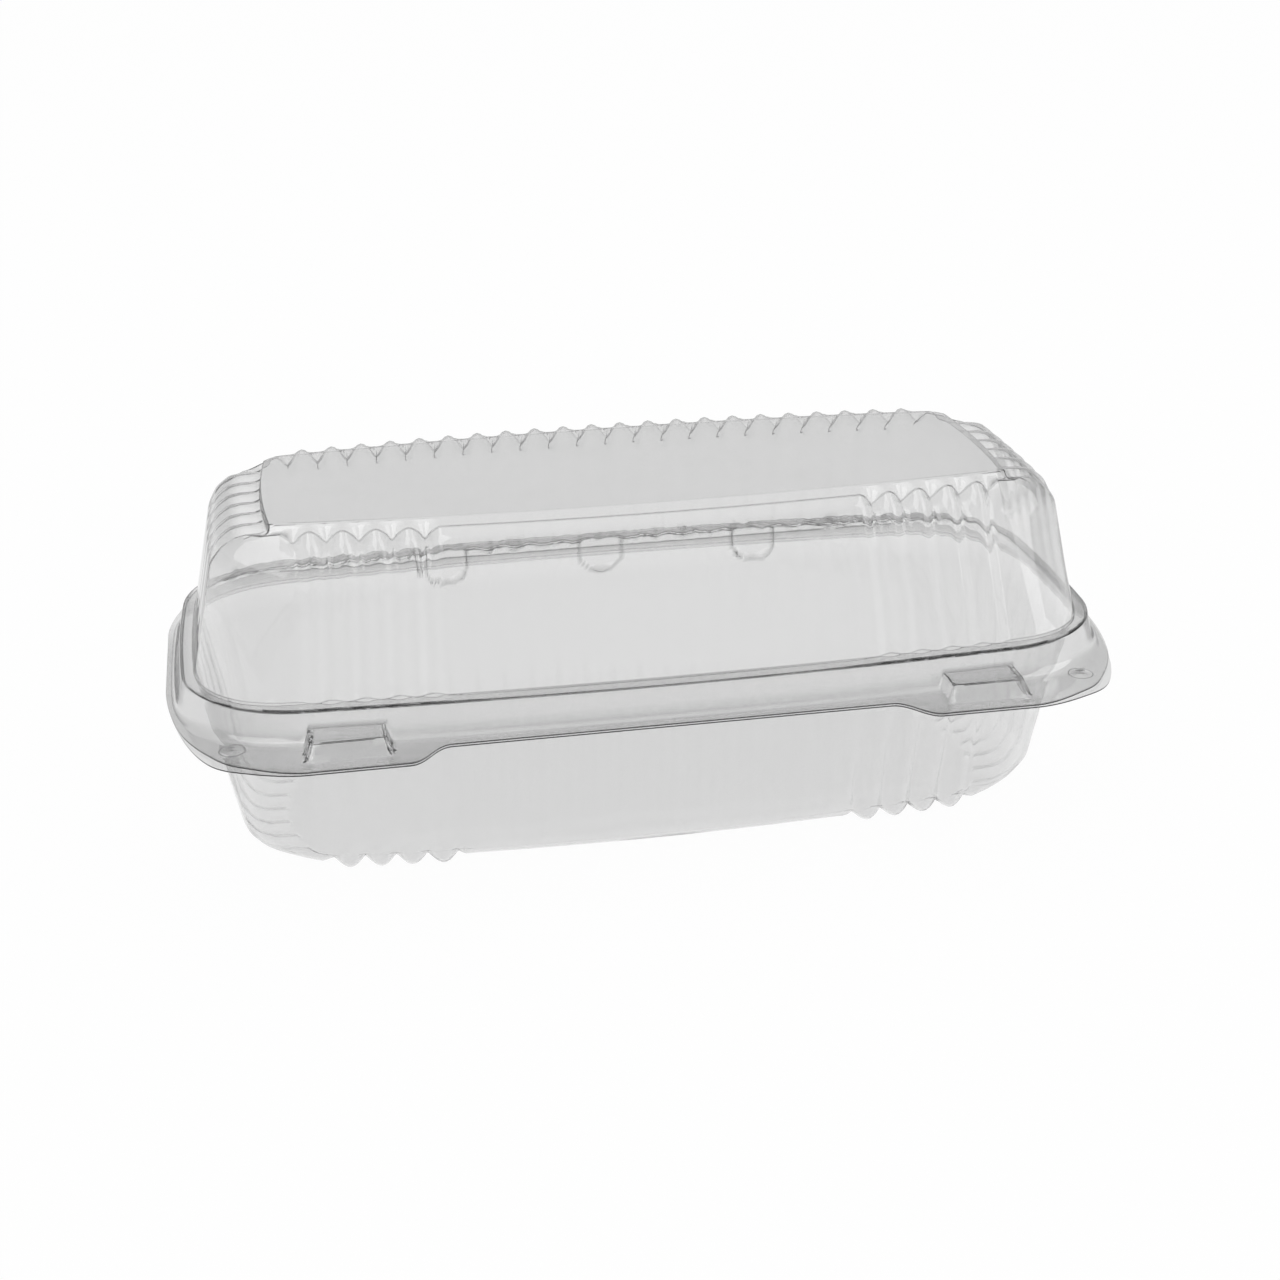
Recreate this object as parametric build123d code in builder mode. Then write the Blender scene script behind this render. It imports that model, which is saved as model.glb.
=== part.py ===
"""Clear hinged takeout container, closed, standing on its floor.

One thin formed sheet makes both halves. The tray and the lid meet on flat
flanges, and they fold on a line along the back. X runs along the length,
Y towards the hinge, Z up. The origin is the middle of the floor underside.
"""
import os
from build123d import *

# Sheet and fits
sheet = 0.3
fit_gap = 0.3
hinge_gap = 0.15
overlap = 0.5

# Overall heights
flange_height = 43.0
rim_rise = 7.8
total_height = 88.1

# Flutes: rows of rounded lobes with sharp valleys between them
back_flutes = 22
lid_end_flutes = 6
tray_end_flutes = 6
front_flutes = 4
flute_pitch = 7.6
flute_pitch_rim = 7.83
window_lead = 3.8
lid_window_half = 53.9
lid_window_half_rim = 55.2
tray_window_half = 50.2
tray_window_half_rim = 51.4
lid_flute_depth_rim = 1.5
tray_flute_depth_rim = 1.7
flute_depth_wall = 1.7
flute_depth_bend = 2.0
flute_depth_floor = 2.9
flute_depth_brow = 3.0

# Bowed sides and round corners in plan
side_bow_rim = 2.6
side_bow_top = 5.1
end_bow = 0.6
panel_side_bow = 3.9
panel_end_bow = 1.3
floor_end_bow = 5.0
tray_foot_end_bow = 3.4
tray_wall_end_bow = 2.0
corner_bulge_rim_share = 0.2
tray_bulge_rim_share = 0.23
corner_bulge_top_share = 0.09
corner_bulge_brow_share = 0.85
lobe_run_shares = (0.28, 0.72, 1)
lobe_rise_shares = (0.95, 0.95, 0)
corner_run_shares = (0.25, 0.5, 0.75)
corner_rise_shares = (0.75, 1, 0.75)
pane_shares = (0, 0.5, 1)
curve_shares = (0, 0.12, 0.24, 0.36, 0.48, 0.6, 0.72, 0.86, 1)

# Lid walls, from the ledge up to the raised panel
lid_foot_half_length = 110.5
lid_foot_half_width = 49.0
lid_wall_height = 79.0
lid_wall_half_length = 104.5
lid_wall_half_width = 40.1
lid_bend_height = 83.4
lid_bend_half_length = 102.4
lid_bend_half_width = 38.7
lid_shelf_height = 86.2
lid_shelf_half_length = 98.3
lid_shelf_half_width = 37.2
lid_step_half_length = 90.4
lid_step_half_width = 36.9
lid_brow_height = 87.5
lid_brow_half_length = 90.2
lid_brow_half_width = 35.8
lid_panel_foot_half_length = 91.8
lid_panel_half_length = 91.0
lid_panel_half_width = 29.5
lid_panel_side_run = 87.0
lid_panel_end_run = 24.4

# Tray walls, from the floor up to the rim
floor_half_length = 97.0
floor_half_width = 39.0
floor_window_recess = 4.6
tray_foot_height = 2.2
tray_foot_half_length = 100.6
tray_foot_half_width = 40.0
tray_foot_window_recess = 2.4
tray_wall_height = 7.0
tray_wall_half_length = 103.0
tray_wall_half_width = 41.0
tray_rim_half_length = 110.8
tray_rim_half_width = 48.8

# Rim ledge and skirt
ledge_half_length = 113.6
ledge_half_width = 53.0
ledge_side_run = 83.6
ledge_end_run = 22.8
ledge_side_bow = 2.8
skirt_flare = 1.9

# Flanges
flange_half_length = 117.5
flange_front = 58.6
flange_tab_front = 66.5
flange_back = 61.8
flange_back_run = 88.0
flange_end_front = 14.0
flange_end_back = 20.0
tab_rise_start = 52.3
tab_inner = 62.7
tab_outer = 85.5
front_knee_x = 98.5
front_knee_y = 61.6
front_mid_x = 106.1
front_mid_y = 55.0
front_end_x = 114.0
front_end_y = 39.0
back_knee_x = 103.0
back_knee_y = 55.6
back_knee_end_x = 112.6
back_knee_end_y = 42.0
tray_knee_extra = 1.4

# Locking boxes in the two front tabs
lock_centre = 75.8
lock_foot_width = 20.2
lock_top_width = 17.6
lock_back = 46.0
lock_foot_front = 61.8
lock_top_front = 59.2
lock_rise = 3.6

# Round dimples at the front corners
dimple_x = 102.0
dimple_y = 51.7
dimple_radius = 3.0
dimple_rise = 1.1

# Half round scoops below the back rim of the tray
scoop_spacing = 43.2
scoop_middle_y = 44.4
scoop_top_radius = 6.2
scoop_foot_radius = 3.4
scoop_drop = 8.8

# Sides of the many-sided forms that stand for small round ones
round_sides = 12

# Heights that follow from the fits
lid_flange_height = flange_height + fit_gap
ledge_height = lid_flange_height + rim_rise
tray_flange_height = flange_height - sheet
bead_height = ledge_height - sheet - fit_gap
hinge_edge = flange_back - hinge_gap


def lobe_row(count, start, pitch, crest_at, depth):
    """Points of a row of lobes that begins at start, from valley to valley."""
    points = [(start, crest_at(start) - depth)]
    for index in range(count):
        run = start + index * pitch
        for run_share, rise_share in zip(lobe_run_shares, lobe_rise_shares):
            place = run + pitch * run_share
            points.append((place, crest_at(place) - depth + depth * rise_share))
    return points


def corner_points(first, last, bulge):
    """Points between two rows on a corner that bulges out from the straight line."""
    points = []
    for run_share, rise_share in zip(corner_run_shares, corner_rise_shares):
        reach = bulge * rise_share
        x = first[0] + (last[0] - first[0]) * run_share + (first[1] - last[1]) * reach
        y = first[1] + (last[1] - first[1]) * run_share + (last[0] - first[0]) * reach
        points.append((x, y))
    return points


def fluted_level(height, half_length, half_width, bow, tip_bow, depth, pitch, end_flutes, window, recess, bulge):
    """One level of a wall: lobes, a plain window in front and round corners."""
    back_half = back_flutes * pitch / 2
    end_half = end_flutes * pitch / 2

    def side(run):
        return half_width - bow * (run / back_half) ** 2

    def tip(run):
        return half_length - tip_bow * (run / end_half) ** 2

    lead = window - window_lead
    pane = [(lead * share, side(lead * share) - recess) for share in pane_shares]
    front_row = pane + lobe_row(front_flutes, window, pitch, side, depth)
    end_row = [(reach, run) for run, reach in lobe_row(end_flutes // 2, 0, pitch, tip, depth)]
    back_row = lobe_row(back_flutes // 2, 0, pitch, side, depth)
    front_corner = corner_points(front_row[-1], end_row[-1], bulge)
    back_corner = corner_points(back_row[-1], end_row[-1], bulge)
    front = front_row + front_corner + end_row[:0:-1]
    back = back_row + back_corner + end_row[::-1]
    outline = [(x, -y) for x, y in front]
    outline += back[::-1]
    outline += [(-x, y) for x, y in back[1:]]
    outline += [(-x, -y) for x, y in front[::-1]]
    with BuildSketch(Plane.XY.offset(height)) as level:
        with BuildLine():
            Polyline(outline, close=True)
        make_face()
    return level.sketch


def points_on(curve):
    """Points along a curve, for an outline of short straight runs."""
    return [curve @ share for share in curve_shares]


def barrel_level(height, half_length, half_width, run, rise, bow, tip_bow, bulge):
    """A smooth level: bowed sides, bowed ends and round corners."""
    side = half_width - bow
    tip = half_length - tip_bow
    knee_x = (run + tip) / 2 + (side - rise) * bulge
    knee_y = (side + rise) / 2 + (tip - run) * bulge
    front = ThreePointArc((-run, -side), (0, -half_width), (run, -side))
    front_corner = ThreePointArc((run, -side), (knee_x, -knee_y), (tip, -rise))
    end = ThreePointArc((tip, -rise), (half_length, 0), (tip, rise))
    back_corner = ThreePointArc((tip, rise), (knee_x, knee_y), (run, side))
    half = []
    for curve in (front, front_corner, end, back_corner):
        half += points_on(curve)[:-1]
    with BuildSketch(Plane.XY.offset(height)) as level:
        with BuildLine():
            Polyline(half + [-point for point in half], close=True)
        make_face()
    return level.sketch


def rim_level(height, inset):
    """One level of the skirt round the rim."""
    return barrel_level(
        height, ledge_half_length - inset, ledge_half_width - inset, ledge_side_run, ledge_end_run,
        ledge_side_bow, end_bow, corner_bulge_rim_share,
    )


def flange_level(height, corner_extra):
    """Cut edge of a flange: two wide tabs in front and a straight hinge side."""
    tab = Spline(
        (tab_rise_start, -flange_front),
        (tab_inner, -flange_tab_front),
        tangents=((1, 0), (1, 0)),
    )
    front_corner = Spline(
        (tab_outer, -flange_tab_front),
        (front_knee_x, -front_knee_y - corner_extra),
        (front_mid_x + corner_extra, -front_mid_y - corner_extra),
        (front_end_x, -front_end_y),
        (flange_half_length, -flange_end_front),
        tangents=((1, 0), (0, 1)),
    )
    back_corner = Spline(
        (flange_half_length, flange_end_back),
        (back_knee_end_x, back_knee_end_y),
        (back_knee_x, back_knee_y),
        (flange_back_run, hinge_edge),
        tangents=((0, 1), (-1, 0)),
    )
    half = [(0, hinge_edge), (0, -flange_front)]
    half += points_on(tab) + points_on(front_corner) + points_on(back_corner)
    with BuildSketch(Plane.XY.offset(height)) as level:
        with BuildLine():
            Polyline(half, close=True)
        make_face()
        mirror(about=Plane.YZ)
    return level.sketch


def lock_level(height, x_side, width, front, inset):
    """One level of the locking box on one side."""
    with BuildSketch(Plane.XY.offset(height)) as level:
        with Locations((x_side * lock_centre, -(lock_back + front - inset) / 2)):
            Rectangle(width - 2 * inset, front - inset - lock_back)
    return level.sketch


def dimple_level(height, inset):
    """Both corner dimples in plan."""
    with BuildSketch(Plane.XY.offset(height)) as level:
        with Locations((-dimple_x, -dimple_y), (dimple_x, -dimple_y)):
            RegularPolygon(dimple_radius - inset, round_sides)
    return level.sketch


def lid_level(height, half_length, half_width, tip_bow, depth, bulge):
    """One upper level of the lid."""
    return fluted_level(
        height, half_length, half_width, side_bow_top, tip_bow,
        depth, flute_pitch, lid_end_flutes, lid_window_half, 0, bulge,
    )


def lid_wall(inset):
    """Levels of the lid's wall, from the ledge to the shelf round the panel."""
    foot = fluted_level(
        ledge_height - overlap, lid_foot_half_length - inset, lid_foot_half_width - inset,
        side_bow_rim, end_bow, lid_flute_depth_rim, flute_pitch_rim, lid_end_flutes,
        lid_window_half_rim, 0, corner_bulge_rim_share,
    )
    wall = lid_level(
        lid_wall_height, lid_wall_half_length - inset, lid_wall_half_width - inset,
        end_bow, flute_depth_wall, corner_bulge_top_share,
    )
    bend = lid_level(
        lid_bend_height - inset / 2, lid_bend_half_length - inset, lid_bend_half_width - inset,
        end_bow, flute_depth_bend, corner_bulge_top_share,
    )
    shelf = lid_level(
        lid_shelf_height - inset, lid_shelf_half_length - inset, lid_shelf_half_width - inset,
        end_bow, flute_depth_bend, corner_bulge_top_share,
    )
    return [foot, wall, bend, shelf]


def lid_brow(inset):
    """Levels of the scalloped brow that stands on the shelf."""
    step = lid_level(
        lid_shelf_height - overlap - inset, lid_step_half_length - inset, lid_step_half_width - inset,
        panel_end_bow, flute_depth_brow, corner_bulge_brow_share,
    )
    brow = lid_level(
        lid_brow_height - inset, lid_brow_half_length - inset, lid_brow_half_width - inset,
        panel_end_bow, flute_depth_brow, corner_bulge_brow_share,
    )
    return [step, brow]


def panel_level(height, half_length, inset):
    """One level of the smooth raised panel."""
    return barrel_level(
        height, half_length - inset, lid_panel_half_width - inset, lid_panel_side_run, lid_panel_end_run,
        panel_side_bow, panel_end_bow, corner_bulge_top_share,
    )


def lid_panel(inset):
    """Levels of the raised panel, from the shelf to the top."""
    foot = panel_level(lid_shelf_height - overlap - inset, lid_panel_foot_half_length, inset)
    top = panel_level(total_height - inset, lid_panel_half_length, inset)
    return [foot, top]


def scoop_level(height, x_side, radius, inset):
    """One level of a scoop below the back rim."""
    with BuildSketch(Plane.XY.offset(height)) as level:
        with Locations((x_side * scoop_spacing, scoop_middle_y)):
            RegularPolygon(radius - inset, round_sides)
    return level.sketch


def tray_level(height, half_length, half_width, tip_bow, depth, recess):
    """One lower level of the tray."""
    return fluted_level(
        height, half_length, half_width, side_bow_top, tip_bow,
        depth, flute_pitch, tray_end_flutes, tray_window_half, recess, corner_bulge_top_share,
    )


def tray_wall(inset, top):
    """Levels of the tray's wall, from the floor to the top of the rim."""
    floor = tray_level(
        inset, floor_half_length - inset, floor_half_width - inset,
        floor_end_bow, flute_depth_floor, floor_window_recess,
    )
    foot = tray_level(
        tray_foot_height + inset / 2, tray_foot_half_length - inset, tray_foot_half_width - inset,
        tray_foot_end_bow, flute_depth_bend, tray_foot_window_recess,
    )
    wall = tray_level(
        tray_wall_height, tray_wall_half_length - inset, tray_wall_half_width - inset,
        tray_wall_end_bow, flute_depth_wall, 0,
    )
    rim = fluted_level(
        top, tray_rim_half_length - inset, tray_rim_half_width - inset, side_bow_rim, end_bow,
        tray_flute_depth_rim, flute_pitch_rim, tray_end_flutes, tray_window_half_rim, 0, tray_bulge_rim_share,
    )
    return [floor, foot, wall, rim]


# Lid: the outer form is added first, then the same form one sheet smaller is taken away.
with BuildPart() as lid:
    extrude(flange_level(lid_flange_height, 0), amount=sheet)
    for inset, mode in ((0, Mode.ADD), (sheet, Mode.SUBTRACT)):
        extrude(dimple_level(lid_flange_height, inset), amount=dimple_rise + sheet - inset, mode=mode)
        loft(
            [rim_level(lid_flange_height, inset - skirt_flare), rim_level(ledge_height - inset, inset)],
            ruled=True,
            mode=mode,
        )
        for x_side in (-1, 1):
            lock_foot = lock_level(lid_flange_height, x_side, lock_foot_width, lock_foot_front, inset)
            lock_top = lock_level(
                lid_flange_height + lock_rise - inset, x_side, lock_top_width, lock_top_front, inset
            )
            loft([lock_foot, lock_top], ruled=True, mode=mode)
        loft(lid_wall(inset), ruled=True, mode=mode)
        loft(lid_brow(inset), ruled=True, mode=mode)
        loft(lid_panel(inset), ruled=True, mode=mode)

# Tray: a hollow bead that nests in the lid's skirt, then the walls inside it.
nest = sheet + fit_gap
with BuildPart() as tray:
    extrude(flange_level(tray_flange_height, tray_knee_extra), amount=sheet)
    for inset, mode in ((nest, Mode.ADD), (nest + sheet, Mode.SUBTRACT)):
        thinning = inset - nest
        extrude(dimple_level(tray_flange_height, inset), amount=dimple_rise + sheet - thinning, mode=mode)
        loft(
            [rim_level(tray_flange_height, inset - skirt_flare), rim_level(bead_height - thinning, inset)],
            ruled=True,
            mode=mode,
        )
        for x_side in (-1, 1):
            lock_foot = lock_level(tray_flange_height, x_side, lock_foot_width, lock_foot_front, inset)
            lock_top = lock_level(
                tray_flange_height + lock_rise - thinning, x_side, lock_top_width, lock_top_front, inset
            )
            loft([lock_foot, lock_top], ruled=True, mode=mode)
    for inset, mode in ((0, Mode.ADD), (sheet, Mode.SUBTRACT)):
        for x_side in (-1, 0, 1):
            scoop_top = scoop_level(bead_height + inset, x_side, scoop_top_radius, inset)
            scoop_foot = scoop_level(bead_height - scoop_drop + inset, x_side, scoop_foot_radius, inset)
            loft([scoop_foot, scoop_top], ruled=True, mode=mode)
        loft(tray_wall(inset, bead_height + inset), ruled=True, mode=mode)

lid.part.label = "lid"
tray.part.label = "tray"
os.makedirs("parts", exist_ok=True)
export_step(lid.part, "parts/lid.step")
export_step(tray.part, "parts/tray.step")
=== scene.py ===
"""Dresses the clear hinged takeout container.

Both halves are one formed sheet of clear plastic: a fluted tray, a fluted lid
and a thin strip that folds between them. Lengths of the container and of the camera
are millimetres here. Lengths of the finishes, the lamps and the floor are metres.
"""
from __future__ import annotations

import logging
import math
from dataclasses import dataclass, field, fields, replace
from enum import Enum

import bpy
import numpy as np
from mathutils import Matrix, Vector

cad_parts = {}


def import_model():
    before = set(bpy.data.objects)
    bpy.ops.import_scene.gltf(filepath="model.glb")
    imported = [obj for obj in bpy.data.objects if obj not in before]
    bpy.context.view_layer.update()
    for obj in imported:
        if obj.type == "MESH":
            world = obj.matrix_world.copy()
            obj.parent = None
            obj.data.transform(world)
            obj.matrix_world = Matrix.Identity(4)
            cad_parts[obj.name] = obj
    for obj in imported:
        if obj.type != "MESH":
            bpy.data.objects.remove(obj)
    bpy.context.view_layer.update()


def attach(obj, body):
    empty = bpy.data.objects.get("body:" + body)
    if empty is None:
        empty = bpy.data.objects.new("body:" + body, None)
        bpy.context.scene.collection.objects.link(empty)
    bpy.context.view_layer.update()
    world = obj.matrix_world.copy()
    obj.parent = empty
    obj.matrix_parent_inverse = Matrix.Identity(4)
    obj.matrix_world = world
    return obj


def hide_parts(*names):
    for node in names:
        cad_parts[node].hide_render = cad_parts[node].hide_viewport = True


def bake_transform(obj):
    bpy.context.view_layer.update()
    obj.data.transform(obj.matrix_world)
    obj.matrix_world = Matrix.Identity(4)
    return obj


log = logging.getLogger("takeout_container")

MM = 0.001
TINY = 1e-6
Channels = np.ndarray

# Channels of a ring: a point in the valley, the flute's depth and the direction in which
# it stands out, the softness of the valley and the painted shade, how grey the sheet is coloured.
X, Y, Z, DEPTH, OUT_X, OUT_Y, OUT_Z, SOFT, PAINTED_SHADE = range(9)
POINT = slice(X, DEPTH)
OUT = slice(OUT_X, SOFT)


class Body(Enum):
    """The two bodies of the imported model."""

    LID = "lid"
    TRAY = "tray"


class Row(Enum):
    """What a column of the sheet belongs to as it goes round the container."""

    PANE = "plain window in front"
    LEAD = "half lobe beside the window"
    FRONT = "front flutes"
    BACK = "back flutes"
    END = "end flutes"
    CORNER = "corner without flutes"


@dataclass(frozen=True)
class Flutes:
    """Counts and sampling of the flutes, the same on both halves."""

    back: int = 22
    end: int = 6
    front: int = 4
    per_flute: int = 8
    end_spots: tuple = (0.0, 0.035, 0.11, 0.22, 0.36, 0.5, 0.64, 0.78, 0.89, 0.965)
    per_front: int = 12
    per_corner: int = 30
    per_front_corner: int = 60
    per_pane: int = 24
    softness: float = 1.0


@dataclass(frozen=True)
class Level:
    """One level of a fluted wall, given by its crest line.

    The end values hold at the two short ends, the others along the long sides.
    Tilt turns the flutes from level at 0 to upright at 90 degrees. A low softness gives
    sharp valleys, a high one an even wave. Square and snap sharpen the corners in plan.
    """

    half_length: float
    half_width: float
    height: float
    end_height: float
    depth: float
    end_depth: float
    tilt: float
    end_tilt: float
    bow: float
    tip_bow: float
    pitch: float
    window: float
    recess: float
    bulge: float
    softness: float = 1.5
    end_softness: float = 1.5
    square: float = 0.0
    snap: float = 1.0
    # The two greys below are painted shade: how grey the level is coloured along the sides and at the ends,
    # in place of the shading of the clear sheet.
    grey: float = 0.145
    end_grey: float | None = None
    corner_depth: float = 1.0
    back_lift: float = 0.0
    back_depth: float = 1.0

    def side(self, run: np.ndarray, half_run: float) -> np.ndarray:
        """Gives the crest line of a long side, which bows in towards its ends.

        Args:
            run: Distances from the middle of the side.
            half_run: Distance at which the line has come in by the whole bow.

        Returns:
            Distances from the middle plane.
        """
        return self.half_width - self.bow * (run / half_run) ** 2

    def mixed(self, other: Level, share: float) -> Level:
        """Gives the level that lies between two levels.

        Args:
            other: The level reached at a share of 1.
            share: How far to go towards it.

        Returns:
            A new level with every value mixed.
        """
        mix = {}
        for item in fields(self):
            near, far = getattr(self, item.name), getattr(other, item.name)
            mix[item.name] = None if near is None or far is None else near * (1 - share) + far * share
        return Level(**mix)


@dataclass(frozen=True)
class Key:
    """One ring of the sheet before the bends are rounded.

    Args:
        ring: The nine channels of every column.
        bend: Length that the rounding takes from each neighbour.
        steps: Rings added on the straight run to the next key.
    """

    ring: Channels
    bend: float = 0.0
    steps: int = 0


def eased(share: np.ndarray) -> np.ndarray:
    """Eases shares from 0 to 1, level at both ends."""
    return share**2 * (3 - 2 * share)


class Columns:
    """The columns of the sheet, counted anticlockwise from the middle of the front."""

    def __init__(self, flutes: Flutes, lead: float) -> None:
        """Lists the columns of all four quarters.

        Args:
            flutes: Counts and sampling of the flutes.
            lead: Length of the half lobe beside the window.
        """
        self.flutes = flutes
        self.lead = lead
        front = self._front_quarter()
        back = self._back_quarter()
        right = [(row, share, 1, -1) for row, share in front]
        right += [(row, share, 1, 1) for row, share in back[-2::-1]]
        left = [(row, share, -1, 1) for row, share in back[1:]]
        left += [(row, share, -1, -1) for row, share in front[-2:0:-1]]
        listed = right + left
        self.rows = np.array([row.name for row, *_ in listed])
        self.share = np.array([share for _, share, *_ in listed], float)
        self.x_side = np.array([x_side for *_, x_side, _ in listed], float)
        self.y_side = np.array([y_side for *_, y_side in listed], float)

    def _front_quarter(self) -> list[tuple[Row, float]]:
        """Lays out a front quarter, from the middle of the window to the middle of the end.

        Returns:
            Row and share of each column.
        """
        count = self.flutes
        quarter = [(Row.PANE, step / count.per_pane) for step in range(count.per_pane)]
        half = count.per_front // 2
        quarter += [(Row.LEAD, step / half) for step in range(half)]
        quarter += [(Row.FRONT, step / count.per_front) for step in range(count.front * count.per_front)]
        return quarter + self._corner_and_end(count.per_front_corner)

    def _back_quarter(self) -> list[tuple[Row, float]]:
        """Lays out a back quarter, from the middle of the back to the middle of the end.

        Returns:
            Row and share of each column.
        """
        count = self.flutes
        quarter = [(Row.BACK, step / count.per_flute) for step in range(count.back // 2 * count.per_flute)]
        return quarter + self._corner_and_end(count.per_corner)

    def _corner_and_end(self, per_corner: int) -> list[tuple[Row, float]]:
        """Lays out a corner and the half of the end row that follows it.

        Args:
            per_corner: Number of columns in the corner.

        Returns:
            Row and share of each column.
        """
        half = self.flutes.end // 2
        corner = [(Row.CORNER, step / per_corner) for step in range(per_corner)]
        shares = [flute + spot for flute in range(half) for spot in self.flutes.end_spots] + [half]
        return corner + [(Row.END, share) for share in reversed(shares)]

    def of(self, *rows: Row) -> np.ndarray:
        """Marks the columns of some rows."""
        return np.isin(self.rows, [row.name for row in rows])

    def phase(self) -> np.ndarray:
        """Counts flutes along each row, with every valley on a whole number.

        Returns:
            The count at each column.
        """
        middle = 0.5
        phase = np.where(self.of(Row.FRONT, Row.BACK, Row.END), self.share, 0.0)
        phase = np.where(self.of(Row.PANE), middle, phase)
        return np.where(self.of(Row.LEAD), middle + middle * self.share, phase)

    def rise(self, soft: np.ndarray) -> np.ndarray:
        """Gives how far each column stands out of its valley, from 0 to 1.

        Args:
            soft: Softness of the valleys, for each ring and column.

        Returns:
            Shares of the flute depth.
        """
        wave = np.sqrt(np.sin(np.pi * self.phase()) ** 2 + soft**2) - soft
        return wave / (np.sqrt(1 + soft**2) - soft)

    def endness(self, snap: float) -> np.ndarray:
        """Gives 0 on the long sides and 1 on the ends, with a change in the corners.

        Args:
            snap: How suddenly it changes, from 1 for a smooth corner.

        Returns:
            Shares of the end values for each column.
        """
        half = 0.5
        share = np.clip((self.share - half) * snap + half, 0, 1)
        return np.where(self.of(Row.CORNER), eased(share), np.where(self.of(Row.END), 1.0, 0.0))

    def _corner(self, level: Level, side_depth: np.ndarray) -> tuple[np.ndarray, np.ndarray]:
        """Lays out the corners of a level, between a round and a square course.

        Args:
            level: Sizes of the level.
            side_depth: Flute depth along the long sides, for each column.

        Returns:
            X and Y of each column without their signs, which hold in the corners.
        """
        back_square = 0.35
        back_half = self.flutes.back * level.pitch / 2
        end_half = self.flutes.end * level.pitch / 2
        front_end = level.window + self.flutes.front * level.pitch
        behind = self.y_side > 0
        side_in = side_depth * math.cos(math.radians(level.tilt))
        end_in = level.end_depth * math.cos(math.radians(level.end_tilt))
        start_x = np.where(behind, back_half, front_end)
        start_y = level.side(start_x, back_half) - side_in
        stop_x = level.half_length - level.tip_bow - end_in
        reach = level.bulge * 4 * self.share * (1 - self.share)
        round_x = start_x + (stop_x - start_x) * self.share + (start_y - end_half) * reach
        round_y = start_y + (end_half - start_y) * self.share + (stop_x - start_x) * reach
        point_y = level.side(stop_x + level.tip_bow / 2, back_half) - side_in
        along = np.clip(self.share * 2, 0, 1)
        down = np.clip(self.share * 2 - 1, 0, 1)
        square_x = start_x + (stop_x - start_x) * along
        square_y = start_y + (point_y - start_y) * along + (end_half - point_y) * down
        square = level.square * np.where(behind, back_square, 1.0)
        return round_x * (1 - square) + square_x * square, round_y * (1 - square) + square_y * square

    def ring(self, level: Level) -> Channels:
        """Lays one fluted level out in space.

        Args:
            level: Sizes of the level.

        Returns:
            The nine channels of each column.
        """
        run_out = 0.2
        corner, end = self.of(Row.CORNER), self.of(Row.END)
        ends = self.endness(level.snap)
        tilt = np.radians(level.tilt * (1 - ends) + level.end_tilt * ends)
        behind = self.y_side > 0
        side_depth = level.depth * np.where(behind, level.back_depth, 1.0)
        depth = side_depth * (1 - ends) + level.end_depth * ends
        inward = depth * np.cos(tilt)
        lead_start = level.window - self.lead

        x = np.where(self.of(Row.PANE), lead_start * self.share, 0.0)
        x = np.where(self.of(Row.LEAD), lead_start + self.lead * self.share, x)
        x = np.where(self.of(Row.FRONT), level.window + level.pitch * self.share, x)
        x = np.where(self.of(Row.BACK), level.pitch * self.share, x)
        fade = np.where(self.of(Row.PANE), 1.0, np.where(self.of(Row.LEAD), 1 - self.share, 0.0))
        y = level.side(x, self.flutes.back * level.pitch / 2) - inward - level.recess * eased(fade)
        end_y = level.pitch * self.share
        end_bow = level.tip_bow * (end_y / (self.flutes.end * level.pitch / 2)) ** 2
        corner_x, corner_y = self._corner(level, side_depth)
        x = np.where(corner, corner_x, np.where(end, level.half_length - end_bow - inward, x))
        y = np.where(corner, corner_y, np.where(end, end_y, y))

        lift = np.clip(np.minimum(self.share, 1 - self.share) / run_out, 0, 1) * corner
        lowered = depth * (1 - lift) + np.minimum(depth, level.corner_depth) * lift
        side_height = level.height + level.back_lift * behind
        end_grey = level.grey if level.end_grey is None else level.end_grey
        ring = np.empty((len(x), PAINTED_SHADE + 1))
        ring[:, X] = x * self.x_side
        ring[:, Y] = y * self.y_side
        ring[:, Z] = side_height * (1 - ends) + level.end_height * ends - lowered * np.sin(tilt)
        ring[:, DEPTH] = np.where(corner, 0.0, depth)
        ring[:, OUT_X] = np.where(end, np.cos(tilt) * self.x_side, 0.0)
        ring[:, OUT_Y] = np.where(end, 0.0, np.cos(tilt) * self.y_side)
        ring[:, OUT_Z] = np.sin(tilt)
        ring[:, SOFT] = level.softness * (1 - ends) + level.end_softness * ends
        # Painted shade of the level, mixed from the sides to the ends.
        ring[:, PAINTED_SHADE] = level.grey * (1 - ends) + end_grey * ends
        return ring


def flat_ring(points: np.ndarray, height: float, painted_shades: tuple) -> Channels:
    """Makes a ring without flutes at one height.

    Args:
        points: X and Y of every column.
        height: Height of the ring.
        painted_shades: Painted shade of the sheet in front and at the ends, from 0 to 1, how grey it is
            coloured there; the back is clear.

    Returns:
        The nine channels of the ring.
    """
    end_from, end_run, clear_from, clear_run = 85.0, 20.0, 10.0, 20.0
    front_painted_shade, end_grey = painted_shades
    ends = np.clip((np.abs(points[:, X]) - end_from) / end_run, 0, 1)
    clear = np.clip((points[:, Y] - clear_from) / clear_run, 0, 1)
    ring = np.zeros((len(points), PAINTED_SHADE + 1))
    ring[:, :Z] = points
    ring[:, Z] = height
    ring[:, SOFT] = 1.0
    # Painted shade: grey in front and at the ends, fading out towards the back.
    ring[:, PAINTED_SHADE] = (front_painted_shade + (end_grey - front_painted_shade) * ends) * (1 - clear)
    return ring


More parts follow.
